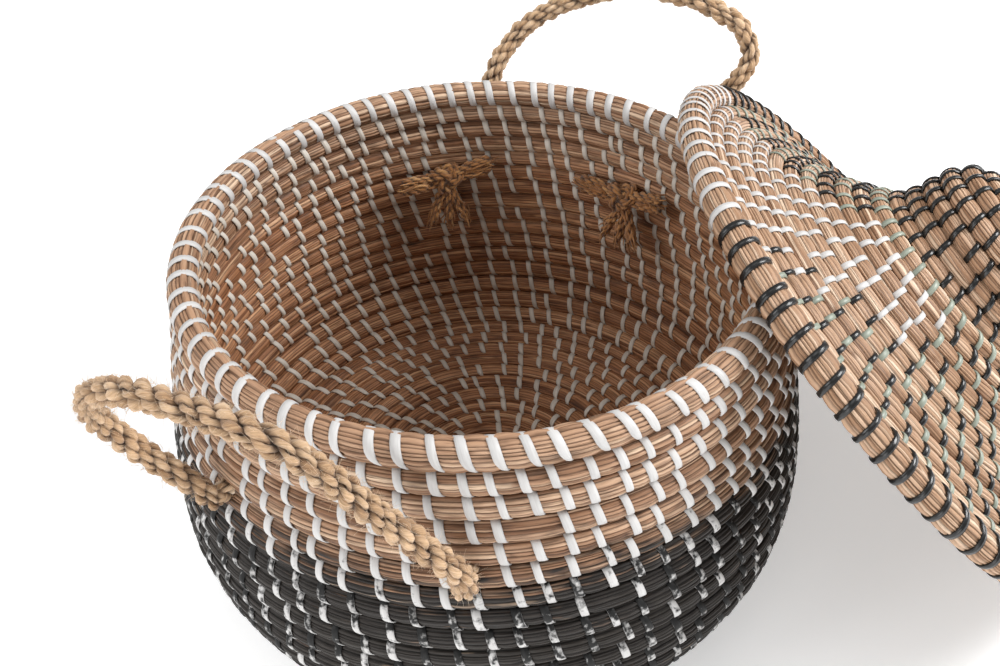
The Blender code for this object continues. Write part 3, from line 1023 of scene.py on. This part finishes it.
# Painted shade for the rope's deep grooves.
JUTE_GROOVE_SHADE = (0.070, 0.028, 0.010, 1)
SEAGRASS_STOPS = (
    (0.0, (0.190, 0.088, 0.042)), (0.30, (0.345, 0.188, 0.108)), (0.55, (0.440, 0.262, 0.160)),
    (0.80, (0.540, 0.345, 0.224)), (1.0, (0.680, 0.490, 0.340)),
)
PALE_STOPS = (
    (0.0, (0.230, 0.118, 0.062)), (0.30, (0.380, 0.222, 0.130)), (0.55, (0.485, 0.302, 0.190)),
    (0.80, (0.590, 0.400, 0.270)), (1.0, (0.730, 0.555, 0.405)),
)
JUTE_STOPS = (
    (0.0, (0.200, 0.098, 0.042)), (0.30, (0.480, 0.292, 0.152)), (0.60, (0.700, 0.468, 0.276)),
    (0.85, (0.830, 0.620, 0.415)), (1.0, (0.900, 0.760, 0.590)),
)
# Painted shade: a darker, redder copy of the jute stops for the knots, which sit in the shade inside the
# basket.
SHADED_JUTE_STOPS = (
    (0.0, (0.130, 0.042, 0.008)), (0.30, (0.300, 0.115, 0.026)), (0.60, (0.440, 0.190, 0.052)),
    (0.85, (0.560, 0.285, 0.100)), (1.0, (0.700, 0.410, 0.180)),
)


def finish_piece(obj, body, nodes, made):
    """Gives a piece its material, and says which body it rides on and which CAD nodes it stands for."""
    obj.data.materials.append(made)
    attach(obj, body)
    if nodes:
        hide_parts(*nodes)


# Camera, floor and light

def make_camera():
    back = Vector((0, -cos(CAMERA_ELEVATION), sin(CAMERA_ELEVATION)))
    right = Vector((1, 0, 0))
    up = Vector((0, sin(CAMERA_ELEVATION), cos(CAMERA_ELEVATION)))
    level = right * cos(CAMERA_ROLL) + up * sin(CAMERA_ROLL)
    upright = up * cos(CAMERA_ROLL) - right * sin(CAMERA_ROLL)
    place = CAMERA_TARGET + back * CAMERA_DISTANCE
    data = bpy.data.cameras.new("camera")
    data.lens = CAMERA_LENS
    camera = bpy.data.objects.new("camera", data)
    camera.matrix_world = Matrix((
        (level.x, upright.x, back.x, place.x), (level.y, upright.y, back.y, place.y),
        (level.z, upright.z, back.z, place.z), (0, 0, 0, 1)))
    bpy.context.scene.collection.objects.link(camera)
    bpy.context.scene.camera = camera


LIGHT_HEIGHT = 0.12
LIGHTS = (
    ("key", (1.30, 0.05, 1.25), (0.05, 0, LIGHT_HEIGHT), 0.8, 34),
    ("front_fill", (-0.35, -1.65, 0.45), (0.0, 0, LIGHT_HEIGHT), 1.0, 10),
    ("left_fill", (-1.25, -0.30, 1.05), (0.0, 0, LIGHT_HEIGHT), 0.9, 11),
    ("top", (0.0, -0.2, 1.8), (0.0, 0.0, 0.1), 0.9, 4),
)


def area_light(name, place, aim, size, power):
    data = bpy.data.lights.new(name, "AREA")
    data.size = size
    data.energy = power
    light = bpy.data.objects.new(name, data)
    light.location = place
    light.rotation_euler = (Vector(aim) - Vector(place)).to_track_quat("-Z", "Y").to_euler()
    bpy.context.scene.collection.objects.link(light)


def make_stage():
    bpy.ops.mesh.primitive_plane_add(size=40, location=(0, 0, -0.0005))
    floor = bpy.context.object
    floor.name = "floor"
    floor.data.materials.append(floor_material())
    world = bpy.data.worlds.new("studio")
    world.use_nodes = True
    background = world.node_tree.nodes["Background"]
    background.inputs["Color"].default_value = (1.0, 1.0, 1.0, 1)
    background.inputs["Strength"].default_value = 0.40
    bpy.context.scene.world = world
    for light in LIGHTS:
        area_light(*light)
    bpy.context.scene.view_settings.view_transform = "Standard"


# The model

HOLES = holes()
OMBRE = seagrass_material("seagrass_dipped", SEAGRASS_STOPS, True)
PALE = seagrass_material("seagrass_pale", PALE_STOPS, False)
WHITE = strip_material("stitch_white", (0.64, 0.63, 0.62), (0.42, 0.41, 0.40), 0.5)
# Painted bounce light: the inside stitches get a warm tint for the light bounced inside the basket.
WHITE_WARM_BOUNCE = strip_material("stitch_white_painted_bounce", (0.72, 0.67, 0.60), (0.44, 0.39, 0.33), 0.5)
WHITE_DIPPED = strip_material("stitch_white_dipped", (0.64, 0.63, 0.62), (0.44, 0.43, 0.42), 0.5, True)
BLACK = strip_material("stitch_black", (0.010, 0.010, 0.010), (0.004, 0.004, 0.004), 0.25)
SAGE = strip_material("stitch_sage", (0.31, 0.345, 0.28), (0.17, 0.195, 0.16), 0.40)
JUTE = jute_material("jute", JUTE_STOPS)
# Painted shade: the jute's shaded copy, for the knots.
JUTE_SHADED = jute_material("jute_shaded", SHADED_JUTE_STOPS)
FUZZ = jute_material("jute_fuzz", JUTE_STOPS)

make_camera()
for handle in HANDLES:
    make_rope(handle)
for owner, side, place, outward in HOLES:
    make_knot(owner, side, place, outward)

wall = basket_coils()
base = base_coils()
lid = lid_coils()
rim, outside, inside = wall_stitches(wall)
top, under = base_stitches(base)
finish_piece(rim.build("rim_stitches"), "basket", (), WHITE)
finish_piece(outside.build("outer_wall_stitches"), "basket", (), WHITE_DIPPED)
finish_piece(inside.build("inner_wall_stitches"), "basket", (), WHITE_WARM_BOUNCE)
finish_piece(top.build("inner_base_stitches"), "basket", (), WHITE_WARM_BOUNCE)
finish_piece(under.build("under_base_stitches"), "basket", (), WHITE_DIPPED)
stitched = lid_stitches(lid)
for which, name, made in (
        (WHITE_STITCH, "lid_white_stitches", WHITE), (BLACK_STITCH, "lid_black_stitches", BLACK),
        (SAGE_STITCH, "lid_sage_stitches", SAGE)):
    finish_piece(stitched[which].build(name), "lid", (), made)

for number, coil in enumerate(wall):
    finish_piece(bundle(coil, number), coil.body, (coil.node,), OMBRE)
for coil in base:
    strands = CENTRE_STRANDS if coil.centre[0] < CENTRE_R else STRANDS
    finish_piece(bundle(coil, BASE_DYE, strands), coil.body, (coil.node,), OMBRE)
for number, coil in enumerate(lid):
    strands = LID_RIM_STRANDS if number == 0 else LID_STRANDS
    finish_piece(bundle(coil, None, strands), coil.body, (coil.node,), PALE)

make_stage()
